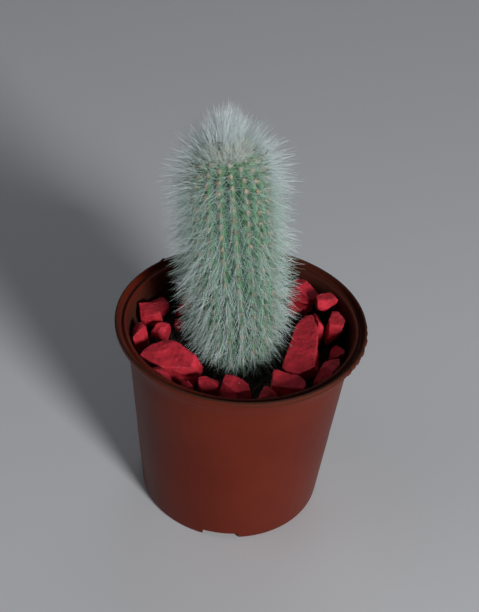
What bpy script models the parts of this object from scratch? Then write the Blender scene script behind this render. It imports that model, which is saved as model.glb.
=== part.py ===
"""A columnar cactus with white bristles, in a plastic nursery pot dressed with dyed crushed stone."""

import math
import random

import bmesh
import bpy
from mathutils import Euler, Matrix, Vector
from mathutils.bvhtree import BVHTree
from mathutils.noise import noise

MM = 0.001

# Pot, in millimetres. The origin is the centre of the ring that the pot stands on.
RIM_RADIUS = 32.5
POT_HEIGHT = 56.5
LIP_HEIGHT = 1.8
LIP_WIDTH = 0.8
LEDGE_DROP = 1.1
WALL_TOP_RADIUS = 29.7
WALL_BASE_RADIUS = 24.6
WALL = 0.6
BASE_ROUND = 1.2
FLOOR_HEIGHT = 2.4
FLOOR_THICKNESS = 1.0
FLOOR_FILLET = 1.6
FOOT_WIDTH = 1.6
NOTCH_WIDTH = 10.6
NOTCH_HEIGHT = 2.2
NOTCH_TAPER = 0.88
NOTCH_COUNT = 4
NOTCH_TURN = math.radians(-92.7)
DRAIN_RADIUS = 2.2
DRAIN_CIRCLE = 13.0
DRAIN_COUNT = 6
POT_STEPS = 48

# Soil
SOIL_LEVEL = 45.0
SOIL_DIP = 1.2
GAP = 0.3

# Cactus. The stem stands upright in the soil and leans a little to the left above it.
STEM_X, STEM_Y = -0.4, 1.6
STEM_TOP = 106.5
ROOT_DEPTH = 12.0
ROOT_RADIUS = 6.4
STEM_BASE_RADIUS = 8.3
STEM_RADIUS = 9.6
SHOULDER_RADIUS = 8.9
DOME_HEIGHT = 9.5
LEAN = math.radians(6.6)
LEAN_ALONG = 12.0
RIBS = 18
RIB_DEPTH = 1.3
AREOLE_PITCH = 3.9
AREOLE_BUMP = 0.45
NEEDLE_ROOT_RADIUS = 0.24
NEEDLE_SUNK = 0.9
NEEDLE_LENGTH = 7.8
CROWN_NEEDLE_LENGTH = 11.5

# Stones: centre x and y, then length, width and height, turn about Z, lean about X and about Y in degrees,
# and how much the far end narrows. They are dropped in this order onto the soil and onto each other.
# The two long slabs have breaks of their own.
STONES = [
    (-18.4, -12.8, 15.2, 9.4, 6.2, -30, 20, -2, 0.1),
    (-11.8, -21.2, 4.2, 4.4, 6.4, -20, 0, 0, 0.2),
    (13.6, -22.4, 5.6, 3.2, 5.4, 30, 0, 0, 0.1),
    (-18.0, -19.6, 7.2, 3.6, 5.6, -42, 0, 0, 0.3),
    (16.8, -2.6, 21.0, 8.4, 6.4, 80, 14, -12, 0.55),
    (20.2, 7.6, 9.4, 2.6, 8.0, 98, 6, 0, 0.5),
    (16.4, 18.8, 7.6, 6.2, 4.4, 20, 0, 0, 0.1),
    (0.4, -21.4, 8.8, 6.6, 7.2, -12, 0, 6, 0.3),
    (23.6, -10.8, 9.4, 4.6, 8.0, 62, 0, 10, 0.3),
    (25.2, 5.6, 8.8, 4.4, 8.2, 78, 0, 8, 0.1),
    (25.8, -1.8, 6.2, 4.2, 5.6, 85, 0, 0, 0.2),
    (-26.2, -1.4, 7.8, 4.0, 8.4, 100, 0, -12, 0.5),
    (-20.8, 2.0, 6.0, 3.8, 7.0, 60, 10, 0, 0.5),
    (-23.2, 12.6, 5.0, 4.4, 6.4, 40, 8, 0, 0.0),
    (-17.8, 15.2, 8.4, 4.0, 6.8, 78, 0, 8, 0.3),
    (-25.4, 6.0, 5.8, 4.8, 6.6, 10, 12, -6, 0.0),
    (12.6, -16.8, 9.4, 6.2, 6.2, -8, 10, 0, 0.2),
    (7.8, -21.6, 5.6, 4.6, 7.0, 28, 8, 0, 0.4),
    (-6.8, -21.8, 5.4, 5.0, 6.4, 12, 4, 0, 0.2),
    (17.0, 18.4, 9.0, 6.6, 5.6, -22, 10, 8, 0.3),
    (22.4, 14.4, 6.2, 4.2, 4.8, 30, 6, 0, 0.3),
    (2.8, 23.6, 9.2, 6.6, 6.8, -20, 0, 8, 0.2),
    (-5.8, 23.8, 7.0, 6.0, 7.0, 30, 8, 0, 0.3),
    (-12.2, 21.8, 5.6, 5.0, 6.2, -40, 0, 0, 0.2),
    (-16.2, 7.0, 3.8, 3.4, 4.0, 48, 6, 0, 0.2),
    (9.8, 23.6, 4.2, 3.8, 5.6, 5, 6, 0, 0.2),
    (-12.6, 15.6, 4.4, 4.0, 4.6, 15, 0, 0, 0.1),
    (9.6, 16.8, 5.6, 4.6, 5.0, 60, 0, 0, 0.2),
    (-4.4, 17.4, 5.2, 4.2, 4.4, -35, 0, 0, 0.2),
    (3.0, 17.2, 4.6, 4.0, 4.0, 40, 0, 0, 0.1),
]
STONE_SEED = 300
SLAB_SEEDS = {1: 344, 5: 785}
STONE_CUTS = 9
CUT_REACH = (0.76, 1.04)
SWELL = 1.4
SHUFFLE = (0.35, 0.7, 1.4, 2.1, 2.8, 3.6)
SHUFFLE_COST = 1.0


def clear_scene():
    for obj in list(bpy.data.objects):
        bpy.data.objects.remove(obj, do_unlink=True)


def new_collection(name, hidden=False):
    collection = bpy.data.collections.new(name)
    bpy.context.scene.collection.children.link(collection)
    collection.hide_render = hidden
    return collection


def make_material(name, colour, roughness):
    material = bpy.data.materials.new(name)
    material.use_nodes = True
    shader = material.node_tree.nodes["Principled BSDF"]
    shader.inputs["Base Color"].default_value = (*colour, 1.0)
    shader.inputs["Roughness"].default_value = roughness
    shader.inputs["Metallic"].default_value = 0.0
    return material


def add_object(name, mesh, material, collection):
    obj = bpy.data.objects.new(name, mesh)
    if material:
        mesh.materials.append(material)
    collection.objects.link(obj)
    return obj


def mesh_from(shape, name, scale=MM):
    """Turns a bmesh in millimetres into a mesh in metres."""
    bmesh.ops.scale(shape, vec=(scale, scale, scale), verts=shape.verts)
    bmesh.ops.recalc_face_normals(shape, faces=shape.faces)
    mesh = bpy.data.meshes.new(name)
    shape.to_mesh(mesh)
    shape.free()
    return mesh


def turned(name, profile, steps, material, collection):
    """A profile of (radius, height) points in millimetres, turned about Z."""
    mesh = bpy.data.meshes.new(name)
    points = [(radius * MM, 0.0, height * MM) for radius, height in profile]
    mesh.from_pydata(points, [(i, i + 1) for i in range(len(points) - 1)], [])
    obj = add_object(name, mesh, material, collection)
    screw = obj.modifiers.new("turn", "SCREW")
    screw.steps = steps
    screw.render_steps = steps
    screw.use_merge_vertices = True
    screw.merge_threshold = 0.00001
    return obj


def applied(obj):
    """Replaces an object's mesh by the one its modifiers make."""
    graph = bpy.context.evaluated_depsgraph_get()
    mesh = bpy.data.meshes.new_from_object(obj.evaluated_get(graph))
    obj.modifiers.clear()
    obj.data = mesh
    return obj


def cut(obj, cutter):
    modifier = obj.modifiers.new("cut " + cutter.name, "BOOLEAN")
    modifier.operation = "DIFFERENCE"
    modifier.object = cutter
    modifier.solver = "EXACT"


def wall_outer(height):
    """The wall's outer radius at a height, in millimetres."""
    along = height / (POT_HEIGHT - LIP_HEIGHT)
    return WALL_BASE_RADIUS + (WALL_TOP_RADIUS - WALL_BASE_RADIUS) * along


def wall_inner(height):
    return wall_outer(height) - WALL


def rounded_corner(radius, steps):
    """The outer lower corner of the wall, from its side to its foot."""
    base = wall_outer(0.0)
    points = []
    for i in range(steps + 1):
        angle = 0.5 * math.pi * i / steps
        points.append((base - radius + radius * math.cos(angle), radius - radius * math.sin(angle)))
    return points


def pot_profile():
    ledge = POT_HEIGHT - LEDGE_DROP
    lip_inner = RIM_RADIUS - LIP_WIDTH
    under_rim = POT_HEIGHT - LIP_HEIGHT
    foot_inner = wall_outer(0.0) - FOOT_WIDTH - BASE_ROUND
    floor_top = FLOOR_HEIGHT + FLOOR_THICKNESS
    profile = [
        (0.0, floor_top),
        (wall_inner(floor_top) - FLOOR_FILLET, floor_top),
        (wall_inner(floor_top + FLOOR_FILLET), floor_top + FLOOR_FILLET),
        (wall_inner(24.0), 24.0),
        (wall_inner(ledge - 0.5), ledge - 0.5),
        (wall_inner(ledge) + 0.5, ledge),
        (lip_inner - 0.6, ledge),
        (lip_inner - 0.1, ledge + 0.25),
        (lip_inner, POT_HEIGHT - 0.25),
        (lip_inner + 0.25, POT_HEIGHT),
        (RIM_RADIUS - 0.25, POT_HEIGHT),
        (RIM_RADIUS, POT_HEIGHT - 0.3),
        (RIM_RADIUS - 0.1, under_rim + 0.1),
        (RIM_RADIUS - 0.3, under_rim),
        (wall_outer(under_rim) + 0.3, under_rim),
        (wall_outer(under_rim - 0.4), under_rim - 0.4),
        (wall_outer(24.0), 24.0),
    ]
    profile += rounded_corner(BASE_ROUND, 3)
    profile += [
        (foot_inner, 0.0),
        (foot_inner - 0.4, FLOOR_HEIGHT),
        (0.0, FLOOR_HEIGHT),
    ]
    return profile


def make_notch_cutter(index, collection):
    """One wedge-sided block that passes through the foot ring."""
    shape = bmesh.new()
    bmesh.ops.create_cube(shape, size=1.0)
    bmesh.ops.scale(shape, vec=(10.0, NOTCH_WIDTH, 2.0 * NOTCH_HEIGHT), verts=shape.verts)
    for vert in shape.verts:
        if vert.co.z > 0.0:
            vert.co.y *= NOTCH_TAPER
    turn = NOTCH_TURN + 2.0 * math.pi * index / NOTCH_COUNT
    out = Vector((math.cos(turn), math.sin(turn), 0.0)) * (WALL_BASE_RADIUS - 2.0)
    bmesh.ops.rotate(shape, matrix=Matrix.Rotation(turn, 3, "Z"), verts=shape.verts)
    bmesh.ops.translate(shape, vec=out, verts=shape.verts)
    name = f"notch_cutter_{index}"
    return add_object(name, mesh_from(shape, name), None, collection)


def make_drain_cutter(index, collection):
    shape = bmesh.new()
    turn = 2.0 * math.pi * (index + 0.5) / DRAIN_COUNT
    bmesh.ops.create_cone(
        shape, cap_ends=True, segments=16, radius1=DRAIN_RADIUS, radius2=DRAIN_RADIUS, depth=6.0
    )
    place = Vector((math.cos(turn), math.sin(turn), 0.0)) * DRAIN_CIRCLE
    place.z = FLOOR_HEIGHT + 0.5 * FLOOR_THICKNESS
    bmesh.ops.translate(shape, vec=place, verts=shape.verts)
    name = f"drain_cutter_{index}"
    return add_object(name, mesh_from(shape, name), None, collection)


def make_pot(parts, cutters):
    material = make_material("moulded_red_brown_plastic", (0.16, 0.03, 0.02), 0.45)
    pot = turned("pot", pot_profile(), POT_STEPS, material, parts)
    holes = [make_notch_cutter(i, cutters) for i in range(NOTCH_COUNT)]
    holes += [make_drain_cutter(i, cutters) for i in range(DRAIN_COUNT)]
    for cutter in holes:
        cutter.hide_render = True
        cutter.display_type = "WIRE"
        cut(pot, cutter)
    return pot


def soil_height(x, y):
    """The soil's uneven top, lower round the stem."""
    near = math.exp(-(((x - STEM_X) ** 2 + (y - STEM_Y) ** 2) / 14.0**2))
    lumps = 0.45 * noise(Vector((x, y, 0.0)) * 0.22) + 0.25 * noise(Vector((x, y, 9.0)) * 0.55)
    return SOIL_LEVEL - SOIL_DIP * near + lumps


def make_soil(parts, cutters):
    """A plug that fills the pot below the stones, with a plain hole for the stem."""
    low = FLOOR_HEIGHT + FLOOR_THICKNESS + GAP
    bottom_radius = wall_inner(low) - FLOOR_FILLET - GAP
    profile = [(0.0, SOIL_LEVEL)]
    profile += [(wall_inner(SOIL_LEVEL) * i / 6.0 - (GAP + 0.1) * (i == 6), SOIL_LEVEL) for i in range(1, 7)]
    side = (wall_inner(low + FLOOR_FILLET) - GAP - 0.1, low + FLOOR_FILLET)
    profile += [side, (bottom_radius, low), (0.0, low)]
    material = make_material("peat_soil", (0.012, 0.009, 0.007), 0.95)
    soil = applied(turned("soil", profile, 30, material, parts))
    for vert in soil.data.vertices:
        if vert.co.z > (SOIL_LEVEL - 0.5) * MM:
            vert.co.z = soil_height(vert.co.x / MM, vert.co.y / MM) * MM
    slope = (STEM_BASE_RADIUS - ROOT_RADIUS) / ROOT_DEPTH
    clear = GAP + 0.1
    low_end = -ROOT_DEPTH - GAP
    high_end = 3.0
    shape = bmesh.new()
    bmesh.ops.create_cone(
        shape,
        cap_ends=True,
        segments=RIBS * 2,
        radius1=STEM_BASE_RADIUS + slope * low_end + clear,
        radius2=STEM_BASE_RADIUS + slope * high_end + clear,
        depth=high_end - low_end,
    )
    middle = SOIL_LEVEL + 0.5 * (low_end + high_end)
    bmesh.ops.translate(shape, vec=(STEM_X, STEM_Y, middle), verts=shape.verts)
    cutter = add_object("stem_hole_cutter", mesh_from(shape, "stem_hole_cutter"), None, cutters)
    cutter.hide_render = True
    cutter.display_type = "WIRE"
    cut(soil, cutter)
    return soil


def smooth_step(value):
    value = min(max(value, 0.0), 1.0)
    return value * value * (3.0 - 2.0 * value)


def leaning(point):
    """Moves a point of the upright stem to where the leaning stem has it."""
    above = point.z - SOIL_LEVEL
    if above <= 0.0:
        return Vector((point.x + STEM_X, point.y + STEM_Y, point.z))
    angle = LEAN * smooth_step(above / LEAN_ALONG)
    curved = min(above, LEAN_ALONG)
    straight = max(above - LEAN_ALONG, 0.0)
    centre = Vector((-curved * math.sin(0.5 * angle), 0.0, curved * math.cos(0.5 * angle)))
    centre += Vector((-math.sin(angle), 0.0, math.cos(angle))) * straight
    turned_across = Matrix.Rotation(-angle, 3, "Y") @ Vector((point.x, point.y, 0.0))
    return centre + turned_across + Vector((STEM_X, STEM_Y, SOIL_LEVEL))


def stem_length():
    return STEM_TOP - SOIL_LEVEL


def stem_radius(height):
    """The rib crests' radius at a height of the upright stem."""
    along = (height - SOIL_LEVEL) / stem_length()
    if along < 0.0:
        return STEM_BASE_RADIUS + (STEM_BASE_RADIUS - ROOT_RADIUS) * (height - SOIL_LEVEL) / ROOT_DEPTH
    swell = STEM_BASE_RADIUS + (STEM_RADIUS - STEM_BASE_RADIUS) * smooth_step(along / 0.35)
    swell += (SHOULDER_RADIUS - STEM_RADIUS) * smooth_step((along - 0.4) / 0.5)
    below_top = STEM_TOP - height
    if below_top < DOME_HEIGHT:
        swell *= math.sqrt(max(1.0 - (1.0 - below_top / DOME_HEIGHT) ** 2.2, 0.0))
    return swell


def stem_rows():
    """Heights of the stem's rings: two to each areole pitch, closer over the dome."""
    rows = [SOIL_LEVEL - ROOT_DEPTH, SOIL_LEVEL - 0.5 * ROOT_DEPTH, SOIL_LEVEL - 1.0]
    height = SOIL_LEVEL
    while height < STEM_TOP - 9.0:
        height += 0.5 * AREOLE_PITCH
        rows.append(height)
    rows += [STEM_TOP - 6.2, STEM_TOP - 4.0, STEM_TOP - 2.2, STEM_TOP - 1.0, STEM_TOP - 0.3]
    return rows


def crest_angle(rib):
    return 2.0 * math.pi * rib / RIBS


def has_areole(rib, row, rows):
    return rows[row] > SOIL_LEVEL + 0.5 and (rib + row) % 2 == 0


def make_stem(material, collection):
    """The ribbed stem: a column of rings, drawn in between the ribs and raised at each areole."""
    rows = stem_rows()
    shape = bmesh.new()
    rings = []
    for row, height in enumerate(rows):
        ring = []
        for i in range(2 * RIBS):
            angle = math.pi * i / RIBS
            radius = stem_radius(height)
            depth = RIB_DEPTH * smooth_step((height - SOIL_LEVEL + 4.0) / 4.0) * min(1.0, radius / 7.0)
            if i % 2:
                radius -= depth
            elif has_areole(i // 2, row, rows):
                radius += AREOLE_BUMP * min(1.0, radius / 7.0)
            flat = Vector((radius * math.cos(angle), radius * math.sin(angle), height))
            ring.append(shape.verts.new(leaning(flat)))
        rings.append(ring)
    for low, high in zip(rings, rings[1:]):
        for i in range(len(low)):
            j = (i + 1) % len(low)
            shape.faces.new((low[i], low[j], high[j], high[i]))
    shape.faces.new(list(reversed(rings[0])))
    tip = shape.verts.new(leaning(Vector((0.0, 0.0, STEM_TOP))))
    for i in range(2 * RIBS):
        shape.faces.new((rings[-1][i], rings[-1][(i + 1) % (2 * RIBS)], tip))
    bmesh.ops.triangulate(shape, faces=shape.faces)
    return add_object("cactus", mesh_from(shape, "cactus"), material, collection)


def needle_shape(root, direction, length, thickness):
    """One three-sided spine, its root sunk in the stem and its tip a point."""
    shape = bmesh.new()
    whole = length + NEEDLE_SUNK
    bmesh.ops.create_cone(shape, cap_ends=True, segments=3, radius1=thickness, radius2=0.0, depth=whole)
    bmesh.ops.translate(shape, vec=(0.0, 0.0, 0.5 * whole - NEEDLE_SUNK), verts=shape.verts)
    turn = direction.to_track_quat("Z", "Y").to_matrix()
    bmesh.ops.rotate(shape, matrix=turn, verts=shape.verts)
    bmesh.ops.translate(shape, vec=root, verts=shape.verts)
    return shape


def needle_directions(height, across, draw):
    """Where one areole's spines point: outwards and down on the column, out and up round the crown."""
    along = (height - SOIL_LEVEL) / stem_length()
    axis = Vector((-math.sin(LEAN), 0.0, math.cos(LEAN)))
    side = axis.cross(across)
    rise = -0.75 + 0.75 * smooth_step((along - 0.35) / 0.5) + 1.5 * smooth_step((along - 0.84) / 0.16)
    spread = 0.55 * min(1.0, 1.6 - along)
    found = []
    for sign in (-1.0, 1.0):
        sway = sign * spread * draw.uniform(0.1, 1.5)
        lift = rise + draw.uniform(-0.35, 0.35) - 0.12 * sign
        found.append((across + side * sway + axis * lift).normalized())
    return found


def tree_of(obj):
    graph = bpy.context.evaluated_depsgraph_get()
    return BVHTree.FromObject(obj, graph)


def is_clear(shape, trees):
    """True where a shape in millimetres touches none of the trees, which are in metres."""
    points = [vert.co * MM for vert in shape.verts]
    own = BVHTree.FromPolygons(points, [[vert.index for vert in face.verts] for face in shape.faces])
    return not any(own.overlap(tree) for tree in trees)


def make_needles(trees, collection):
    """Two spines from every areole, shorter where a stone or the soil is in the way."""
    draw = random.Random(41)
    rows = stem_rows()
    made = 0
    for row, height in enumerate(rows):
        for rib in range(RIBS):
            radius = stem_radius(height)
            crowded = radius < 7.0 and rib % 2 == row % 4 // 2
            if not has_areole(rib, row, rows) or crowded or radius < 1.6:
                continue
            angle = crest_angle(rib)
            out = Vector((math.cos(angle), math.sin(angle), 0.0))
            root = leaning(out * radius + Vector((0.0, 0.0, height)))
            across = (root - leaning(Vector((0.0, 0.0, height)))).normalized()
            crown = smooth_step((height - STEM_TOP + 7.0) / 7.0)
            length = NEEDLE_LENGTH + (CROWN_NEEDLE_LENGTH - NEEDLE_LENGTH) * crown
            for direction in needle_directions(height, across, draw):
                own = length * draw.uniform(0.86, 1.1)
                for share in (1.0, 0.8, 0.62, 0.45, 0.3):
                    tested = needle_shape(root, direction, own * share + 0.4, NEEDLE_ROOT_RADIUS + 0.3)
                    free = is_clear(tested, trees)
                    tested.free()
                    if free:
                        break
                if free:
                    shape = needle_shape(root, direction, own * share, NEEDLE_ROOT_RADIUS)
                    name = f"needle_{made:04d}"
                    add_object(name, mesh_from(shape, name), None, collection)
                    made += 1


def make_cactus(parts, others):
    material = make_material("green_skin_with_white_spines", (0.30, 0.40, 0.32), 0.6)
    stem = make_stem(material, parts)
    needles = new_collection("needles")
    make_needles([tree_of(other) for other in others], needles)
    union = stem.modifiers.new("join spines", "BOOLEAN")
    union.operation = "UNION"
    union.operand_type = "COLLECTION"
    union.collection = needles
    union.solver = "EXACT"
    applied(stem)
    for needle in list(needles.objects):
        bpy.data.objects.remove(needle, do_unlink=True)
    bpy.data.collections.remove(needles)
    return stem


def stone_shape(size, narrowing, seed):
    """A block broken by seeded flat fractures."""
    draw = random.Random(seed)
    half = Vector(size) * 0.5
    shape = bmesh.new()
    bmesh.ops.create_cube(shape, size=1.0)
    bmesh.ops.scale(shape, vec=size, verts=shape.verts)
    for _ in range(STONE_CUTS):
        normal = Vector([draw.gauss(0.0, 1.0) for _ in range(3)]).normalized()
        reach = Vector([normal[i] * half[i] for i in range(3)]).length * draw.uniform(*CUT_REACH)
        everything = shape.verts[:] + shape.edges[:] + shape.faces[:]
        made = bmesh.ops.bisect_plane(
            shape, geom=everything, dist=0.02, plane_co=normal * reach, plane_no=normal, clear_outer=True
        )
        rim = [item for item in made["geom_cut"] if isinstance(item, bmesh.types.BMEdge)]
        if len(rim) > 2:
            bmesh.ops.edgeloop_fill(shape, edges=rim)
    whole = bmesh.new()
    for vert in shape.verts:
        share = 1.0 - narrowing * max(vert.co.x / half.x, 0.0)
        whole.verts.new((vert.co.x, vert.co.y * share, vert.co.z * share))
    shape.free()
    bmesh.ops.remove_doubles(whole, verts=whole.verts, dist=0.3)
    bmesh.ops.convex_hull(whole, input=whole.verts)
    loose = [vert for vert in whole.verts if not vert.link_faces]
    bmesh.ops.delete(whole, geom=loose, context="VERTS")
    return whole


def free_fall(shape, trees):
    """How far down a shape goes before it touches something, in millimetres."""
    fallen = 0.0
    for step in (2.0, 0.5, 0.1):
        while fallen < POT_HEIGHT:
            bmesh.ops.translate(shape, vec=(0.0, 0.0, -step), verts=shape.verts)
            if not is_clear(shape, trees):
                bmesh.ops.translate(shape, vec=(0.0, 0.0, step), verts=shape.verts)
                break
            fallen += step
    return fallen


def settled(shape, trees):
    """Where a stone comes to lie: the lowest place close to its own, as a move in millimetres."""
    best, best_score = None, -1000.0
    places = [(0.0, 0.0)]
    for away in SHUFFLE:
        places += [(away * math.cos(i * math.pi / 4), away * math.sin(i * math.pi / 4)) for i in range(8)]
    for x, y in places:
        tried = shape.copy()
        bmesh.ops.translate(tried, vec=(x, y, 0.0), verts=tried.verts)
        fall = free_fall(tried, trees)
        tried.free()
        score = fall - SHUFFLE_COST * math.hypot(x, y)
        if score > best_score:
            best, best_score = Vector((x, y, -fall)), score
    return best


def swollen(shape, by):
    """A copy that stands out from the shape by at least a small distance."""
    copy = shape.copy()
    centre = sum((vert.co for vert in copy.verts), Vector()) / len(copy.verts)
    for vert in copy.verts:
        away = vert.co - centre
        vert.co += away.normalized() * by * SWELL
    return copy


def make_stones(parts, pot, soil):
    material = make_material("dyed_crushed_stone", (0.42, 0.02, 0.035), 0.85)
    wall = tree_of(pot)
    trees = [wall, tree_of(soil)]
    stones = []
    for number, (x, y, length, width, height, turn, lean_x, lean_y, narrowing) in enumerate(STONES, 1):
        seed = SLAB_SEEDS.get(number, STONE_SEED + number)
        shape = stone_shape((length, width, height), narrowing, seed)
        lean = Euler([math.radians(angle) for angle in (lean_x, lean_y, 0.0)]).to_matrix()
        spin = Matrix.Rotation(math.radians(turn), 3, "Z")
        bmesh.ops.rotate(shape, matrix=spin, verts=shape.verts)
        bmesh.ops.rotate(shape, matrix=lean, verts=shape.verts)
        bmesh.ops.translate(shape, vec=(x, y, POT_HEIGHT + 6.0), verts=shape.verts)
        reach = max(math.hypot(vert.co.x, vert.co.y) for vert in shape.verts)
        over = reach - (wall_inner(SOIL_LEVEL + 4.0) - 1.5 * GAP)
        if over > 0.0:
            inwards = Vector((-x, -y, 0.0)).normalized() * over
            bmesh.ops.translate(shape, vec=inwards, verts=shape.verts)
        grown = swollen(shape, GAP)
        bmesh.ops.translate(shape, vec=settled(grown, trees), verts=shape.verts)
        grown.free()
        name = f"stone_{number:02d}"
        stone = add_object(name, mesh_from(shape, name), material, parts)
        bpy.context.view_layer.update()
        trees.append(tree_of(stone))
        stones.append(stone)
    return stones


def main():
    clear_scene()
    parts = new_collection("potted_columnar_cactus")
    cutters = new_collection("cutters", hidden=True)
    pot = make_pot(parts, cutters)
    soil = make_soil(parts, cutters)
    stones = make_stones(parts, pot, soil)
    make_cactus(parts, [pot, soil] + stones)


main()
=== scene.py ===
import math
import random

import bmesh
import bpy
import numpy as np
from mathutils import Matrix, Vector
from mathutils.bvhtree import BVHTree
from mathutils.noise import noise


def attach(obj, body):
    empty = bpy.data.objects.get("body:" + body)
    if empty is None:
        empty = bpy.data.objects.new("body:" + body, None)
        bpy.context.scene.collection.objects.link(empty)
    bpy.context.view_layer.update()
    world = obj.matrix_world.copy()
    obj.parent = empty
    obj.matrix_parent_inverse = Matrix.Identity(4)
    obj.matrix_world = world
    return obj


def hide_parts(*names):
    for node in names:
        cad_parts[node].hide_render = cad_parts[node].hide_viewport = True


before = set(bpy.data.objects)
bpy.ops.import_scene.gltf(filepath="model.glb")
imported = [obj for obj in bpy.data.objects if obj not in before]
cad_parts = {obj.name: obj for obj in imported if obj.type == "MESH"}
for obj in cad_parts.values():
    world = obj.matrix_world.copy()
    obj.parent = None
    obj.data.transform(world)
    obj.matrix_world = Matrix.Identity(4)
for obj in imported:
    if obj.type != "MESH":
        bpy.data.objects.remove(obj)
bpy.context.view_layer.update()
mm = 0.001  # shapes are made in millimetres and scaled once, when they are finished


# Shared tools

def linearColour(hexCode):
    channels = [int(hexCode[i:i + 2], 16) / 255 for i in (1, 3, 5)]
    return [c / 12.92 if c <= 0.04045 else ((c + 0.055) / 1.055) ** 2.4 for c in channels] + [1.0]


def patternScale(size):
    return 1.0 / (size * mm)  # a pattern's scale, from the real size in millimetres


def startMaterial(name, colour, roughness, ior=1.5):
    material = bpy.data.materials.new(name)
    material.use_nodes = True
    shader = material.node_tree.nodes["Principled BSDF"]
    shader.inputs["Base Color"].default_value = linearColour(colour)
    shader.inputs["Roughness"].default_value = roughness
    shader.inputs["IOR"].default_value = ior
    return material, shader


def addLinks(material, target, links):
    for key, (source, output) in links.items():
        material.node_tree.links.new(source.outputs[output], target.inputs[key])


def addNode(material, kind, settings=None, links=None):
    node = material.node_tree.nodes.new(kind)
    for key, value in (settings or {}).items():
        if key == "stops":
            ramp = node.color_ramp
            while len(ramp.elements) < len(value):
                ramp.elements.new(0.5)
            for element, (place, colour) in zip(ramp.elements, value):
                element.position = place
                element.color = linearColour(colour)
        elif isinstance(key, str) and hasattr(node, key):
            setattr(node, key, value)
        else:
            node.inputs[key].default_value = value
    addLinks(material, node, links or {})
    return node


def meshFrom(shape, name):
    bmesh.ops.scale(shape, vec=(mm, mm, mm), verts=shape.verts)
    mesh = bpy.data.meshes.new(name)
    shape.to_mesh(mesh)
    shape.free()
    return mesh


def addObject(name, data):
    made = bpy.data.objects.new(name, data)
    bpy.context.scene.collection.objects.link(made)
    return made


def addPiece(name, mesh, material, replaced=(), sharpAngle=None):
    piece = addObject(name, mesh)
    mesh.materials.clear()
    mesh.materials.append(material)
    mesh.shade_smooth()
    if sharpAngle:
        mesh.set_sharp_from_angle(angle=math.radians(sharpAngle))
    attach(piece, "root")
    if replaced:
        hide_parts(*replaced)
    return piece


def withModifier(mesh, kind, settings):
    helper = addObject("helper", mesh)
    modifier = helper.modifiers.new("shape", kind)
    for key, value in settings.items():
        setattr(modifier, key, value)
    graph = bpy.context.evaluated_depsgraph_get()
    made = bpy.data.meshes.new_from_object(helper.evaluated_get(graph))
    bpy.data.objects.remove(helper)
    return made


def pointAttribute(mesh, name, values):
    attribute = mesh.attributes.new(name, "FLOAT", "POINT")
    attribute.data.foreach_set("value", np.asarray(values, np.float32))


def smoothStep(value):
    value = min(max(value, 0.0), 1.0)
    return value * value * (3.0 - 2.0 * value)


def treeOf(names):
    points, faces = [], []
    for name in names:
        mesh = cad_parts[name].data
        start = len(points)
        points += [vert.co / mm for vert in mesh.vertices]
        faces += [[start + i for i in polygon.vertices] for polygon in mesh.polygons]
    return BVHTree.FromPolygons(points, faces)


def spunShape(profile, steps):
    shape = bmesh.new()
    verts = [shape.verts.new((radius, 0.0, height)) for radius, height in profile]
    edges = [shape.edges.new(pair) for pair in zip(verts, verts[1:])]
    bmesh.ops.spin(
        shape, geom=verts + edges, cent=(0, 0, 0), axis=(0, 0, 1), angle=2 * math.pi, steps=steps,
        use_merge=True
    )
    bmesh.ops.remove_doubles(shape, verts=shape.verts, dist=0.002)
    bmesh.ops.recalc_face_normals(shape, faces=shape.faces)
    return shape


def templateOf(shape):
    shape.verts.index_update()
    points = np.array([vert.co for vert in shape.verts])
    faces = [[vert.index for vert in face.verts] for face in shape.faces]
    shape.free()
    return points, faces


def placedCopies(points, roots, acrossX, acrossY, acrossZ):
    # each copy of the template stands on its own three axes, whose lengths are its size
    made = roots[:, None, :] + points[None, :, 0, None] * acrossX[:, None, :]
    made += points[None, :, 1, None] * acrossY[:, None, :]
    made += points[None, :, 2, None] * acrossZ[:, None, :]
    return made


def joinedMesh(name, blocks):
    points, faces, start = [], [], 0
    for copies, templateFaces in blocks:
        count, size = copies.shape[:2]
        firsts = start + np.arange(count)[:, None] * size
        for face in templateFaces:
            faces += (firsts + np.array(face)[None, :]).tolist()
        points.append(copies.reshape(-1, 3))
        start += count * size
    mesh = bpy.data.meshes.new(name)
    mesh.from_pydata((np.concatenate(points) * mm).tolist(), [], faces)
    return mesh


# Pot: injection-moulded polypropylene, 65 mm across the rim

pot = {
    "rimRadius": 32.5,
    "height": 56.5,
    "underRim": 54.7,
    "wallTopRadius": 29.7,
    "wallBaseRadius": 24.6,
    "wall": 0.6,
    "stepHeight": 50.4,  # faint moulded line round the outside
    "stepDepth": 0.14,
    "floorTop": 3.4,
    "floorUnder": 2.4,
    "cornerRadius": 1.2,
    "spinSteps": 360,
    "notch": {"width": 10.6, "height": 2.2, "turn": -92.7, "count": 4, "narrowing": 0.88},
    "drain": {"radius": 2.2, "circle": 13.0, "count": 6},
    "nub": {"turn": 134.5, "width": 1.5, "height": 0.55},  # where the plastic entered the mould
    # ragged plastic left along the rim's edge: where, how far it reaches and its coarse and fine tatters
    "flash": {"start": -37.0, "end": 6.0, "reach": 0.34, "lift": 0.2, "coarse": 0.85, "fine": 2.1},
    "uneven": {"wall": 0.05, "rim": 0.02, "rimHeight": 0.03},  # the thin wall isn't quite round
}


def wallOuter(height):
    return pot["wallBaseRadius"] + (pot["wallTopRadius"] - pot["wallBaseRadius"]) * height / pot["underRim"]


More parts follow.
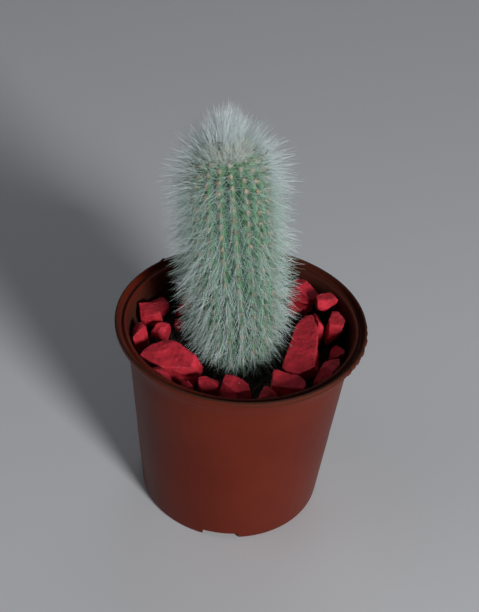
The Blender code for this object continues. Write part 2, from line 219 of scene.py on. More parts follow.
def potProfile():
    top, rim, step = pot["height"], pot["rimRadius"], pot["stepHeight"]
    inner = [(wallOuter(z) - pot["wall"], z) for z in (4.8, 15.0, 25.0, 35.0, 42.0, 46.0, 50.0, 53.0, 54.4)]
    profile = [(0.0, pot["floorTop"]), (12.0, pot["floorTop"]), (inner[0][0] - 1.4, pot["floorTop"])]
    profile += [(inner[0][0] - 0.4, pot["floorTop"] + 0.35)] + inner
    profile += [(rim - back, top - down) for back, down in (
        (3.26, 1.62), (3.10, 1.30), (2.86, 1.10), (2.60, 1.02), (2.36, 1.04), (2.16, 1.20), (1.98, 1.42),
        (1.72, 1.52), (1.42, 1.50), (1.16, 1.38), (0.98, 1.14), (0.90, 0.80), (0.84, 0.40), (0.74, 0.14),
        (0.56, 0.02), (0.36, 0.0), (0.16, 0.08), (0.04, 0.26), (0.0, 0.55), (0.02, 1.0), (0.05, 1.40),
        (0.14, 1.66), (0.34, 1.80), (0.80, 1.80), (1.60, 1.80), (2.30, 1.82), (2.62, 1.92), (2.80, 2.15))]
    profile += [(wallOuter(z), z) for z in (53.6, 52.0, step + 0.35)]
    belowStep = (step, 48.0, 44.0, 40.0, 36.0, 32.0, 28.0, 24.0)
    profile += [(wallOuter(z) - pot["stepDepth"], z) for z in belowStep]
    profile += [(wallOuter(z) - 0.5 * pot["stepDepth"], z) for z in (20.0, 16.0, 12.0, 8.0, 4.0, 2.2)]
    corner = pot["cornerRadius"]
    for i in range(7):
        angle = 0.5 * math.pi * i / 6
        radius = wallOuter(0.0) - corner + corner * math.cos(angle)
        profile.append((radius, corner - corner * math.sin(angle)))
    foot = wallOuter(0.0) - 2.8
    profile += [(foot, 0.0), (foot - 0.15, 0.15), (foot - 0.4, pot["floorUnder"] - 0.1)]
    profile += [(foot - 0.5, pot["floorUnder"]), (12.0, pot["floorUnder"]), (0.0, pot["floorUnder"])]
    return profile


def potCutters():
    shape = bmesh.new()
    notch, drain = pot["notch"], pot["drain"]
    for i in range(notch["count"]):
        made = bmesh.ops.create_cube(shape, size=1.0)["verts"]
        bmesh.ops.scale(shape, vec=(10.0, notch["width"], 2.0 * notch["height"]), verts=made)
        for vert in made:
            if vert.co.z > 0.0:
                vert.co.y *= notch["narrowing"]
        bmesh.ops.translate(shape, vec=(pot["wallBaseRadius"] - 2.0, 0.0, 0.0), verts=made)
        turn = math.radians(notch["turn"]) + 2.0 * math.pi * i / notch["count"]
        bmesh.ops.rotate(shape, matrix=Matrix.Rotation(turn, 3, "Z"), verts=made)
    for i in range(drain["count"]):
        made = bmesh.ops.create_cone(
            shape, cap_ends=True, segments=40, radius1=drain["radius"], radius2=drain["radius"], depth=6.0
        )["verts"]
        bmesh.ops.translate(shape, vec=(drain["circle"], 0.0, pot["floorUnder"] + 0.5), verts=made)
        turn = 2.0 * math.pi * (i + 0.5) / drain["count"]
        bmesh.ops.rotate(shape, matrix=Matrix.Rotation(turn, 3, "Z"), verts=made)
    return addObject("potCutters", meshFrom(shape, "potCutters"))


def shapeRim(shape):
    nub, flash, uneven = pot["nub"], pot["flash"], pot["uneven"]
    for vert in shape.verts:
        radius = math.hypot(vert.co.x, vert.co.y)
        turn = math.atan2(vert.co.y, vert.co.x)
        out = Vector((math.cos(turn), math.sin(turn), 0.0))
        wave = noise(Vector((out.x, out.y, vert.co.z / 40.0)) * 1.6)
        if vert.co.z > 6.0 and radius > wallOuter(vert.co.z) - 1.0:
            vert.co += out * uneven["wall"] * wave
        if radius < pot["rimRadius"] - 1.0 or vert.co.z < pot["underRim"] - 0.2:
            continue
        fine = noise(Vector((vert.co.x * 0.9, vert.co.y * 0.9, vert.co.z * 0.6)))
        vert.co += out * uneven["rim"] * fine + Vector((0.0, 0.0, uneven["rimHeight"] * wave))
        degrees = math.degrees(turn)
        inFlash = smoothStep((degrees - flash["start"]) / 5.0) * smoothStep((flash["end"] - degrees) / 8.0)
        if inFlash and radius > pot["rimRadius"] - 0.5:
            coarseX, coarseY = vert.co.x * flash["coarse"], vert.co.y * flash["coarse"]
            fineX, fineY = vert.co.x * flash["fine"], vert.co.y * flash["fine"]
            ragged = max(0.0, noise(Vector((coarseX, coarseY, 3.0))) + 0.25)
            ragged += 0.6 * max(0.0, noise(Vector((fineX, fineY, 7.0))))
            vert.co += out * flash["reach"] * ragged * inFlash
            vert.co.z += flash["lift"] * fine * inFlash
        away = (degrees - nub["turn"]) * math.pi / 180 * pot["rimRadius"]
        if abs(away) < nub["width"] and vert.co.z > pot["height"] - 0.6:
            vert.co.z += nub["height"] * math.exp(-(away / (0.45 * nub["width"])) ** 2)


def dirtAndShadeOnPot(mesh):
    # soil dirt and painted shade: most on the wall inside, where painted shade deepens below the rim and on
    # the shaded right-hand inner wall, some in the rim's groove as painted shade, and dirt on its lip, more
    # of it on the right
    dirt = []
    for vert in mesh.vertices:
        x, y, z = vert.co / mm
        radius = math.hypot(x, y)
        rightSide = smoothStep(0.5 + 0.9 * x / pot["rimRadius"])
        level = 0.0
        # painted shade on the inner wall, with some soil dirt: darker further below the rim and on the right
        if z > 30.0 and radius < wallOuter(z) - 0.35:
            level = 0.6 + 0.3 * smoothStep((56.0 - z) / 8.0) + 0.1 * rightSide
        # painted shade in the rim's groove, darker on the right
        elif z > pot["underRim"] + 0.3 and radius < pot["rimRadius"] - 0.9:
            level = 0.3 * smoothStep((pot["height"] - 0.7 - z) / 0.4) + 0.35 * rightSide
        elif z > pot["height"] - 0.9:
            nearFront = smoothStep(0.6 - 1.2 * y / pot["rimRadius"])
            level = (0.35 + 0.45 * max(rightSide, nearFront)) * smoothStep((z - pot["height"] + 0.7) / 0.4)
        elif z > pot["underRim"] - 0.1:
            level = 0.2 + 0.5 * rightSide
        dirt.append(level)
    return dirt


def plasticMaterial():
    # Moulded polypropylene: an even red-brown with a satin skin, a soft waviness and a fine grain
    material, shader = startMaterial("mouldedPolypropylene", "#601E0F", 0.45, ior=1.49)
    shader.inputs["Specular IOR Level"].default_value = 0.14
    place = addNode(material, "ShaderNodeTexCoord")
    sizes = ((22.0, 3.0, 0.5), (0.9, 4.0, 0.7), (1.3, 5.0, 0.75), (0.45, 2.0, 0.5))
    cloud, dust, crumbs, grain = [
        addNode(
            material, "ShaderNodeTexNoise",
            {"Scale": patternScale(size), "Detail": detail, "Roughness": roughness},
            {"Vector": (place, "Object")}
        )
        for size, detail, roughness in sizes
    ]
    tint = addNode(
        material, "ShaderNodeValToRGB", {"stops": [(0.3, "#5B1B0D"), (0.7, "#652211")]},
        {"Fac": (cloud, "Fac")}
    )
    dustShare = addNode(
        material, "ShaderNodeMapRange", {"From Min": 0.64, "From Max": 0.76, "To Max": 0.25},
        {"Value": (dust, "Fac")}
    )
    # in a Mix of colours, 7 covers 6 by the share in 0, and output 2 is what comes out
    dusted = addNode(
        material, "ShaderNodeMix", {"data_type": "RGBA", 7: linearColour("#8A4832")},
        {0: (dustShare, "Result"), 6: (tint, "Color")}
    )
    dirt = addNode(material, "ShaderNodeAttribute", {"attribute_name": "dirt"})
    patchy = addNode(
        material, "ShaderNodeMath", {"operation": "MULTIPLY_ADD", 1: 1.7, 2: -1.35}, {0: (crumbs, "Fac")}
    )
    amount = addNode(
        material, "ShaderNodeMath", {"operation": "MULTIPLY_ADD", 1: 1.6, "use_clamp": True},
        {0: (dirt, "Fac"), 2: (patchy, "Value")}
    )
    # the dark brown mixed in here is soil dirt and also painted shade inside the pot and in the rim's groove
    colour = addNode(
        material, "ShaderNodeMix", {"data_type": "RGBA", 7: linearColour("#3A2318")},
        {0: (amount, "Value"), 6: (dusted, 2)}
    )
    sheen = addNode(material, "ShaderNodeMapRange", {"To Min": 0.36, "To Max": 0.5}, {"Value": (dust, "Fac")})
    rough = addNode(
        material, "ShaderNodeMath", {"operation": "MULTIPLY_ADD", 1: 0.5},
        {0: (amount, "Value"), 2: (sheen, "Result")}
    )
    wave = addNode(
        material, "ShaderNodeBump", {"Strength": 0.5, "Distance": 0.25 * mm}, {"Height": (cloud, "Fac")}
    )
    bump = addNode(
        material, "ShaderNodeBump", {"Strength": 0.25, "Distance": 0.04 * mm},
        {"Height": (grain, "Fac"), "Normal": (wave, "Normal")}
    )
    addLinks(material, shader, {
        "Base Color": (colour, 2), "Roughness": (rough, "Value"), "Normal": (bump, "Normal")
    })
    return material


def makePot():
    shape = spunShape(potProfile(), pot["spinSteps"])
    shapeRim(shape)
    cutter = potCutters()
    openings = {"operation": "DIFFERENCE", "object": cutter, "solver": "EXACT"}
    mesh = withModifier(meshFrom(shape, "nurseryPot"), "BOOLEAN", openings)
    bpy.data.objects.remove(cutter)
    pointAttribute(mesh, "dirt", dirtAndShadeOnPot(mesh))
    addPiece("nurseryPot", mesh, plasticMaterial(), ["pot"], sharpAngle=40)
    print("pot made,", len(mesh.polygons), "faces")


# Stem: a ribbed column that leans a little to the left

stem = {
    "x": -0.4,
    "y": 1.6,
    "soilLevel": 45.0,
    "top": 106.5,
    "rootDepth": 12.0,
    "rootRadius": 6.4,
    "baseRadius": 8.3,
    "radius": 9.6,
    "shoulderRadius": 8.9,
    "dome": 9.5,
    "lean": 6.6,
    "leanAlong": 12.0,
    "ribs": 18,
    "ribDepth": 1.3,
    "fadeRadius": 7.0,  # ribs and swellings fade where the column gets thinner than this
    "pitches": ((45.0, 75.0, 92.0, 100.0, 106.0), (3.9, 3.6, 3.0, 2.6, 2.2)),  # between areoles, by height
    "areoleSwell": 0.45,
    "crease": {"above": 1.35, "half": 0.35, "depth": 0.16},  # shallow fold over each areole
    # the young skin round the growing point is paler: from what height, over what length and how much
    "paler": ((80.0, 14.0, 0.1), (100.5, 4.0, 1.0)),
    "stepsPerRib": 12,
    "ringPitch": 0.45,
}


def leanAt(height):
    return math.radians(stem["lean"]) * smoothStep((height - stem["soilLevel"]) / stem["leanAlong"])


def leaning(point):
    above = point.z - stem["soilLevel"]
    place = Vector((stem["x"], stem["y"], stem["soilLevel"]))
    if above <= 0.0:
        return place + Vector((point.x, point.y, above))
    angle = leanAt(point.z)
    curved = min(above, stem["leanAlong"])
    straight = max(above - stem["leanAlong"], 0.0)
    place += Vector((-curved * math.sin(0.5 * angle), 0.0, curved * math.cos(0.5 * angle)))
    place += Vector((-math.sin(angle), 0.0, math.cos(angle))) * straight
    return place + Matrix.Rotation(-angle, 3, "Y") @ Vector((point.x, point.y, 0.0))


def stemRadius(height):
    above = height - stem["soilLevel"]
    along = above / (stem["top"] - stem["soilLevel"])
    if along < 0.0:
        return stem["baseRadius"] + (stem["baseRadius"] - stem["rootRadius"]) * above / stem["rootDepth"]
    swell = stem["baseRadius"] + (stem["radius"] - stem["baseRadius"]) * smoothStep(along / 0.35)
    swell += (stem["shoulderRadius"] - stem["radius"]) * smoothStep((along - 0.4) / 0.5)
    below = stem["top"] - height
    if below < stem["dome"]:
        swell *= math.sqrt(max(1.0 - (1.0 - below / stem["dome"]) ** 2.2, 0.0))
    return swell


def stemSlope(height):
    return (stemRadius(min(height + 0.05, stem["top"])) - stemRadius(height - 0.05)) / 0.1


def rowHeights():
    # areole rows half a pitch apart along the skin, from the soil to the growing point
    heights = [stem["soilLevel"]]
    while heights[-1] < stem["top"] - 0.3:
        pitch = np.interp(heights[-1], *stem["pitches"])
        heights.append(heights[-1] + 0.5 * pitch / math.hypot(1.0, stemSlope(heights[-1])))
    return heights


def areoleRows():
    # (height, rib numbers) of each row: every other rib, then fewer as the ribs meet on the dome
    rows = []
    for k, height in enumerate(rowHeights()[1:-1], 1):
        radius = stemRadius(height)
        step = 2 if radius > 5.0 else (3 if radius > 3.0 else 5)
        rows.append((height, [rib for rib in range(stem["ribs"]) if (rib + k) % step == 0]))
    return rows


def areoleList():
    # place, outward normal, direction up the rib and height of every areole
    found = []
    for height, ribs in areoleRows():
        radius = stemRadius(height)
        slope = stemSlope(height)
        turned = Matrix.Rotation(-leanAt(height), 3, "Y")
        for rib in ribs:
            angle = 2.0 * math.pi * rib / stem["ribs"]
            out = Vector((math.cos(angle), math.sin(angle), 0.0))
            crest = out * (radius + stem["areoleSwell"] * min(1.0, radius / stem["fadeRadius"]))
            normal = turned @ Vector((out.x, out.y, -slope)).normalized()
            up = turned @ Vector((out.x * slope, out.y * slope, 1.0)).normalized()
            found.append((leaning(crest + Vector((0.0, 0.0, height))), normal, up, height))
    return found


def stemProfile():
    low = stem["soilLevel"] - stem["rootDepth"]
    heights = [low, low + 4.0, low + 8.0, low + 11.0]
    count = int((stem["top"] - stem["dome"] - stem["soilLevel"]) / stem["ringPitch"])
    heights += [stem["soilLevel"] + stem["ringPitch"] * i for i in range(count)]
    steps = 26
    heights += [stem["top"] - stem["dome"] * math.cos(0.5 * math.pi * i / steps) ** 1.6 for i in range(steps)]
    return [(0.0, low)] + [(stemRadius(z), z) for z in heights] + [(0.0, stem["top"])]


def skinMaterial():
    # Living cactus skin: waxy green, with painted shade in the furrows and painted light on the crests
    material, shader = startMaterial("waxyCactusSkin", "#4C7A48", 0.46, ior=1.45)
    place = addNode(material, "ShaderNodeTexCoord")
    crest = addNode(material, "ShaderNodeAttribute", {"attribute_name": "crest"})
    mottle = addNode(
        material, "ShaderNodeTexNoise", {"Scale": patternScale(2.4), "Detail": 4.0},
        {"Vector": (place, "Object")}
    )
    shift = addNode(
        material, "ShaderNodeMath", {"operation": "MULTIPLY_ADD", 1: 0.5, 2: -0.25}, {0: (mottle, "Fac")}
    )
    mixed = addNode(
        material, "ShaderNodeMath", {"operation": "ADD", "use_clamp": True},
        {0: (crest, "Fac"), 1: (shift, "Value")}
    )
    # the dark stops paint the shade in the furrows, the pale stops the light on the crests and the paler
    # young skin
    colour = addNode(
        material, "ShaderNodeValToRGB",
        {"stops": [(0.0, "#17402A"), (0.45, "#2F6B43"), (0.8, "#4F8A5A"), (1.0, "#6F9A68")]},
        {"Fac": (mixed, "Value")}
    )
    cells = addNode(
        material, "ShaderNodeTexVoronoi", {"Scale": patternScale(0.35)}, {"Vector": (place, "Object")}
    )
    bump = addNode(
        material, "ShaderNodeBump", {"Strength": 0.3, "Distance": 0.04 * mm}, {"Height": (cells, "Distance")}
    )
    addLinks(material, shader, {"Base Color": (colour, "Color"), "Normal": (bump, "Normal")})
    return material


def makeStem():
    shape = spunShape(stemProfile(), stem["ribs"] * stem["stepsPerRib"])
    heights = rowHeights()
    numbers = np.arange(len(heights))
    crease = stem["crease"]
    ribShadingAndPaleness = []
    for vert in shape.verts:
        height = vert.co.z
        radius = math.hypot(vert.co.x, vert.co.y)
        angle = math.atan2(vert.co.y, vert.co.x)
        rib = 0.5 * angle * stem["ribs"]
        crest = abs(math.cos(rib))
        fade = min(1.0, radius / stem["fadeRadius"])
        depth = stem["ribDepth"] * smoothStep((height - stem["soilLevel"] + 4.0) / 4.0) * fade
        near = round(angle * stem["ribs"] / (2.0 * math.pi))
        row = float(np.interp(height, heights, numbers))
        aboveSpot = (row + near % 2) / 2.0  # whole numbers are areoles on this rib
        away = (aboveSpot - round(aboveSpot)) * float(np.interp(height, *stem["pitches"]))
        swell = math.exp(-away ** 2) * crest ** 6 * stem["areoleSwell"] * fade
        swell *= smoothStep(height - stem["soilLevel"])
        fold = math.exp(-((away - crease["above"]) / crease["half"]) ** 2) * crest ** 3 * crease["depth"]
        fold *= fade
        if radius > 0.01:
            wider = (radius - depth * (1.0 - crest) ** 0.85 + swell - fold) / radius
            vert.co.x *= wider
            vert.co.y *= wider
        vert.co = leaning(vert.co)
        paler = sum(amount * smoothStep((height - start) / length) for start, length, amount in stem["paler"])
        # painted light on the rib crests and painted shade in the furrows, plus the paler young skin near the
        # growing point
        ribShadingAndPaleness.append(min(crest ** 1.5 + paler, 1.0))
    mesh = meshFrom(shape, "cactusStem")
    pointAttribute(mesh, "crest", ribShadingAndPaleness)
    addPiece("cactusStem", mesh, skinMaterial(), ["cactus"])
    print("stem made,", len(mesh.polygons), "faces")


# Areoles: small woolly pads on the ribs, tan on the column, cream on the crown and brown at the foot

areole = {
    "width": 0.46,
    "height": 0.66,
    "thickness": 0.42,
    "woolHairs": 26,
    "woolLength": (0.6, 1.3),
    "woolRadius": 0.07,
    "woolSpread": 0.8,
    # from 0, cream, to 1, dead: older at the foot, younger on the crown
    "ageing": {"middle": 0.4, "foot": 0.22, "crown": 0.3, "crownFrom": 0.9, "crownAlong": 0.08},
    "ageSpread": 0.14,
    "deadShare": 0.05,
    # the areoles nearest to these places are dead and brown
    "dried": ((3.7, -6.7, 65.6), (5.6, -5.6, 55.4), (-0.2, -6.7, 50.7), (-4.9, -7.4, 67.8)),
    "seed": 17,
}


def feltMaterial():
    # Areole felt: dense short plant wool, quite matt, cream when young and tan to brown with age
    material, shader = startMaterial("areoleFelt", "#C8A078", 0.95, ior=1.4)
    shader.inputs["Sheen Weight"].default_value = 0.3
    age = addNode(material, "ShaderNodeAttribute", {"attribute_name": "age"})
    stops = [(0.0, "#D6D3BE"), (0.3, "#CDB897"), (0.7, "#B69873"), (1.0, "#54301C")]
    colour = addNode(material, "ShaderNodeValToRGB", {"stops": stops}, {"Fac": (age, "Fac")})
    addLinks(material, shader, {"Base Color": (colour, "Color")})
    return material


def areoleAges(spots):
    draw = random.Random(areole["seed"])
    ageing = areole["ageing"]
    ages = []
    for place, _, _, height in spots:
        along = (height - stem["soilLevel"]) / (stem["top"] - stem["soilLevel"])
        age = ageing["middle"] + ageing["foot"] * (1.0 - along)
        age += draw.uniform(-areole["ageSpread"], areole["ageSpread"])
        age -= ageing["crown"] * smoothStep((along - ageing["crownFrom"]) / ageing["crownAlong"])
        if draw.random() < areole["deadShare"] * (1.2 - along):
            age = draw.uniform(0.85, 1.0)
        ages.append(min(max(age, 0.0), 1.0))
    for dried in areole["dried"]:
        nearest = min(range(len(spots)), key=lambda i: (spots[i][0] - Vector(dried)).length)
        ages[nearest] = 0.97
    return np.array(ages)


def makeAreoles(spots):
    material = feltMaterial()
    ages = areoleAges(spots)
    roots = np.array([place for place, _, _, _ in spots])
    normals = np.array([normal for _, normal, _, _ in spots])
    ups = np.array([up for _, _, up, _ in spots])
    sides = np.cross(ups, normals)
    shape = bmesh.new()
    bmesh.ops.create_uvsphere(shape, u_segments=8, v_segments=5, radius=1.0)
    points, faces = templateOf(shape)
    copies = placedCopies(
        points, roots, sides * areole["width"], ups * areole["height"], normals * areole["thickness"]
    )
    mesh = joinedMesh("areolePads", [(copies, faces)])
    pointAttribute(mesh, "age", np.repeat(ages, len(points)))
    addPiece("areolePads", mesh, material)
    draw = np.random.default_rng(areole["seed"])
    each = areole["woolHairs"]
    across = draw.normal(0.0, areole["woolSpread"], (len(spots) * each, 2))
    roots, normals, ups, sides = [np.repeat(part, each, axis=0) for part in (roots, normals, ups, sides)]
    directions = unitRows(normals + ups * across[:, :1] + sides * across[:, 1:])
    lengths = draw.uniform(*areole["woolLength"], len(roots))
    points, faces = bristleTemplate((0.4, 0.75))
    radii = np.full(len(roots), areole["woolRadius"])
    copies = bristleCopies(points, roots, directions, -0.25 * ups, lengths, radii)
    mesh = joinedMesh("areoleWool", [(copies, faces)])
    pointAttribute(mesh, "age", np.repeat(np.repeat(ages, each), len(points)))
    addPiece("areoleWool", mesh, material)
    print("areoles made,", len(spots))


# Bristles: thin glassy spines, about thirty-five from every areole

bristles = {
    # height, how far up (or down) they point, length and number from one areole
    "stations": (
        (45.0, -0.55, 5.6, 28), (56.0, -0.75, 7.6, 34), (82.0, -0.60, 8.0, 38), (94.0, -0.20, 8.2, 38),
        (99.0, 0.05, 8.6, 36), (103.0, 0.24, 8.6, 34), (105.6, 0.70, 8.0, 26)),
    # central ones stand out from the radial ones, which lie closer to the skin: how far each kind spreads
    # sideways and stands off, and its share of the length
    "centralShare": 0.26,
    "central": {"spread": (0.05, 0.5), "stand": (0.8, 1.1), "length": (0.8, 1.1)},
    "radial": {"spread": (0.45, 1.25), "stand": (0.35, 0.9), "length": (0.5, 0.98)},
    "upright": 0.75,  # how much of the spread goes up and down the stem
    "bend": ((0.0, 0.09), (0.0, 0.09), (-0.06, 0.07)),  # mean and spread along x, y and z
    "patch": (0.62, 0.45, 0.15),  # half height, half width and depth of the patch they grow from
    "radius": 0.043,
    "toneRadius": (0.62, 0.6),  # the darkest bristles' share of the radius, and what the whitest have on top
    "thickness": ((45.0, 78.0, 90.0), (1.12, 1.0, 0.70)),  # by height, against the radius
    "tone": 0.52,
    "toneSpread": ((45.0, 80.0, 90.0), (0.36, 0.34, 0.22)),  # by height
    "whiter": (95.0, 6.0, 0.25),  # near the crown: from what height, over what length and how much
    "rings": (0.3, 0.62, 0.86),
    "tuft": {
        "count": 960,
        "reach": 3.5,
        "x": -0.7,
        "y": 1.1,
        "length": (5.0, 12.2),
        "splay": 0.14,
        "outward": 0.07,
        "bend": 0.08,
        "shorter": 0.3,  # at the outside
        "tones": (0.8, 1.0),
    },
    "seed": 41,
    "shortest": 1.2,
    # the pieces they are joined into, and the heights each covers
    "pieces": {
        "bristlesFoot": (0.0, 64.0),
        "bristlesMiddle": (64.0, 79.0),
        "bristlesTop": (79.0, 93.0),
        "bristlesCrown": (93.0, 999.0),
    },
}


def unitRows(rows):
    return rows / np.linalg.norm(rows, axis=1)[:, None]


def bristleTemplate(rings):
    shape = bmesh.new()
    bmesh.ops.create_cone(shape, cap_ends=True, segments=3, radius1=1.0, radius2=0.0, depth=1.0)
    bmesh.ops.translate(shape, vec=(0.0, 0.0, 0.5), verts=shape.verts)
    for height in rings:
        everything = shape.verts[:] + shape.edges[:] + shape.faces[:]
        bmesh.ops.bisect_plane(
            shape, geom=everything, dist=0.001, plane_co=(0, 0, height), plane_no=(0, 0, 1)
        )
    for vert in shape.verts:
        left = 1.0 - vert.co.z
        if left > 0.01:  # a long even shaft and a short point
            vert.co.x *= left ** -0.65
            vert.co.y *= left ** -0.65
    return templateOf(shape)


def bristleCopies(points, roots, directions, bends, lengths, radii):
    along = points[:, 2][None, :, None]
    sides = unitRows(np.cross(directions, np.array([0.31, 0.55, 0.77])))
    others = np.cross(directions, sides)
    courses = directions[:, None, :] * along + bends[:, None, :] * along ** 2
    centres = roots[:, None, :] + courses * lengths[:, None, None]
    across = points[None, :, 0, None] * sides[:, None, :] + points[None, :, 1, None] * others[:, None, :]
    return centres + across * radii[:, None, None]


def bristleMaterial():
    # Cactus bristle: smooth glassy fibre, white at the tip, with painted shade making it darker and greener
    # towards the root
    material, shader = startMaterial("glassyBristle", "#E9EDEA", 0.34, ior=1.5)
    tone = addNode(material, "ShaderNodeAttribute", {"attribute_name": "tone"})
    stops = [(0.0, "#6C9474"), (0.3, "#A3C2AE"), (0.6, "#D8E9E3"), (1.0, "#FAFDFF")]
    colour = addNode(material, "ShaderNodeValToRGB", {"stops": stops}, {"Fac": (tone, "Fac")})
    addLinks(material, shader, {"Base Color": (colour, "Color")})
    return material


def bristleRows(spots, draw):
    # root, direction, bend, length and tone of every bristle before the obstacles are looked at
    rows = []
    heights, rises, lengths, counts = zip(*bristles["stations"])
    whiteFrom, whiteAlong, whiteBy = bristles["whiter"]
    tall, wide, sunk = bristles["patch"]
    for place, normal, up, height in spots:
        rise = float(np.interp(height, heights, rises))
        longest = float(np.interp(height, heights, lengths))
        toneSpread = float(np.interp(height, *bristles["toneSpread"]))
        whiter = whiteBy * smoothStep((height - whiteFrom) / whiteAlong)
        side = up.cross(normal)
        axis = Matrix.Rotation(-leanAt(height), 3, "Y") @ Vector((0.0, 0.0, 1.0))
        outward = (normal - axis * normal.dot(axis) * 0.6).normalized()
        for _ in range(round(float(np.interp(height, heights, counts)))):
            kind = bristles["central" if draw.random() < bristles["centralShare"] else "radial"]
            angle = draw.uniform(0.0, 2.0 * math.pi)
            spread = draw.uniform(*kind["spread"])
            stand = draw.uniform(*kind["stand"])
            lift, sway = spread * math.cos(angle), spread * math.sin(angle)
            along = rise * stand + bristles["upright"] * lift
            direction = (outward * stand + axis * along + side * sway).normalized()
            length = longest * draw.uniform(*kind["length"])
            bend = Vector([draw.gauss(*part) for part in bristles["bend"]])
            root = place + up * tall * math.cos(angle) + side * wide * math.sin(angle) - normal * sunk
            tone = min(max(draw.gauss(bristles["tone"], toneSpread) + whiter, 0.0), 1.0)
            rows.append((root, direction, bend, length, tone, height))
    return rows


def tuftRows(draw):
    # the growing point's own bristles, which stand upright whichever way the stem leans
    rows = []
    tuft = bristles["tuft"]
    for _ in range(tuft["count"]):
        away = tuft["reach"] * math.sqrt(draw.random())
        angle = draw.uniform(0.0, 2.0 * math.pi)
        x, y = tuft["x"] + away * math.cos(angle), tuft["y"] + away * math.sin(angle)
        height = stem["top"] - 0.09 * (x * x + y * y) - 0.3
        tilt = Vector((math.cos(angle), math.sin(angle), 0.0)) * tuft["outward"] * away
        tilt += Vector((draw.gauss(0.0, tuft["splay"]), draw.gauss(0.0, tuft["splay"]), 1.0))
        bend = Vector((draw.gauss(0.0, tuft["bend"]), draw.gauss(0.0, tuft["bend"]), 0.0))
        length = draw.uniform(*tuft["length"]) * (1.0 - tuft["shorter"] * (away / tuft["reach"]) ** 2)
        root = leaning(Vector((x, y, height)))
        rows.append((root, tilt.normalized(), bend, length, draw.uniform(*tuft["tones"]), height))
    return rows


def clearOf(rows, tree):
    kept = []
    for root, direction, bend, length, tone, height in rows:
        course = (direction + bend).normalized()
        hit = tree.ray_cast(root, course, length + 0.3)
        if hit[0] is not None:
            length = 0.94 * hit[3] - 0.2
        if length > bristles["shortest"]:
            kept.append((root, direction, bend, length, tone, height))
    return kept


def makeBristles(spots):
    draw = random.Random(bristles["seed"])
    obstacles = treeOf([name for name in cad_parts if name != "cactus"])
    rows = clearOf(bristleRows(spots, draw) + tuftRows(draw), obstacles)
    points, faces = bristleTemplate(bristles["rings"])
    material = bristleMaterial()
    thinnest, fuller = bristles["toneRadius"]
    for name, (low, high) in bristles["pieces"].items():
        own = [row for row in rows if low <= row[5] < high]
        roots, directions, bends = [np.array([row[i] for row in own]) for i in range(3)]
        lengths, tones = [np.array([row[i] for row in own]) for i in (3, 4)]
        radii = bristles["radius"] * (thinnest + fuller * tones)
        radii *= np.interp([row[5] for row in own], *bristles["thickness"])
        copies = bristleCopies(points, roots, directions, bends, lengths, radii)
        mesh = joinedMesh(name, [(copies, faces)])
        # painted shade: each bristle darker and greener towards its root, near the skin
        shade = tones[:, None] * (0.55 + 0.45 * points[None, :, 2] ** 0.5)
        pointAttribute(mesh, "tone", shade.ravel())
        addPiece(name, mesh, material, ["cactus"])
        print(name, "made,", len(own))


# Crown wool: short cream down that closes over the growing point, with a little dry litter caught in it

crownWool = {
    "count": 8000,
    "reach": 5.6,
    "crowding": 0.6,  # below 0.5 they gather outside, above it in the middle
    "length": (1.4, 3.6),
    "shorter": 0.45,  # at the outside
    "radius": 0.036,
    "loose": 0.55,
    "bend": 0.3,
    "colour": "#F1F5EA",
    "seed": 73,
}
litter = {
    # place, direction, length and thickness of each scrap
    "scraps": (
        ((-8.9, -0.3, 107.6), (0.8, -0.3, 0.3), 1.2, 0.34),
        ((-8.1, -0.8, 107.2), (-0.3, -0.8, 0.4), 0.9, 0.30),
        ((-9.6, -0.5, 106.8), (0.2, 0.5, 0.8), 0.8, 0.26),
        ((-8.5, -1.4, 106.6), (0.9, 0.2, -0.1), 0.7, 0.28),
        ((2.7, 1.4, 104.6), (0.12, -0.3, 0.95), 2.1, 0.15),
    ),
    "colour": "#4A3524",
}


def makeCrownWool():
    # Young wool: soft dense plant down, cream with a painted green cast of the light from the skin under it,
    # quite matt
    draw = random.Random(crownWool["seed"])
    material, shader = startMaterial("youngPlantWool", crownWool["colour"], 0.9, ior=1.4)
    shader.inputs["Sheen Weight"].default_value = 0.25
    roots, directions, bends, lengths = [], [], [], []
    for _ in range(crownWool["count"]):
        away = crownWool["reach"] * draw.random() ** crownWool["crowding"]
        angle = draw.uniform(0.0, 2.0 * math.pi)
        height = stem["top"] - 0.02
        while stemRadius(height) < away:
            height -= 0.04
        slope = stemSlope(height)
        out = Vector((math.cos(angle), math.sin(angle), -slope)).normalized()
        turned = Matrix.Rotation(-leanAt(height), 3, "Y")
        roots.append(leaning(Vector((away * math.cos(angle), away * math.sin(angle), height - 0.1))))
        loose = Vector([draw.gauss(0.0, crownWool["loose"]) for _ in range(3)])
        directions.append((turned @ out + loose).normalized())
        bends.append(Vector([draw.gauss(0.0, crownWool["bend"]) for _ in range(3)]))
        shorter = crownWool["shorter"] * (away / crownWool["reach"]) ** 2
        lengths.append(draw.uniform(*crownWool["length"]) * (1.0 - shorter))
    points, faces = bristleTemplate((0.5,))
    roots, directions, bends, lengths = [np.array(part) for part in (roots, directions, bends, lengths)]
    radii = np.full(len(roots), crownWool["radius"])
    copies = bristleCopies(points, roots, directions, bends, lengths, radii)
    addPiece("crownWool", joinedMesh("crownWool", [(copies, faces)]), material)
    print("crown wool made,", len(roots))


def makeLitter():
    # Dry plant litter: brown, matt and splintery
    material, shader = startMaterial("dryPlantLitter", litter["colour"], 0.9, ior=1.45)
    places, courses, lengths, sizes = zip(*litter["scraps"])
    courses = unitRows(np.array(courses))
    bends = np.tile([0.12, 0.08, -0.1], (len(places), 1))
    points, faces = bristleTemplate((0.2, 0.4, 0.6, 0.8))
    copies = bristleCopies(points, np.array(places), courses, bends, np.array(lengths), np.array(sizes))
    mesh = joinedMesh("caughtLitter", [(copies, faces)])
    addPiece("caughtLitter", mesh, material, sharpAngle=30)


# Soil: dark peat with crumbs and fibres

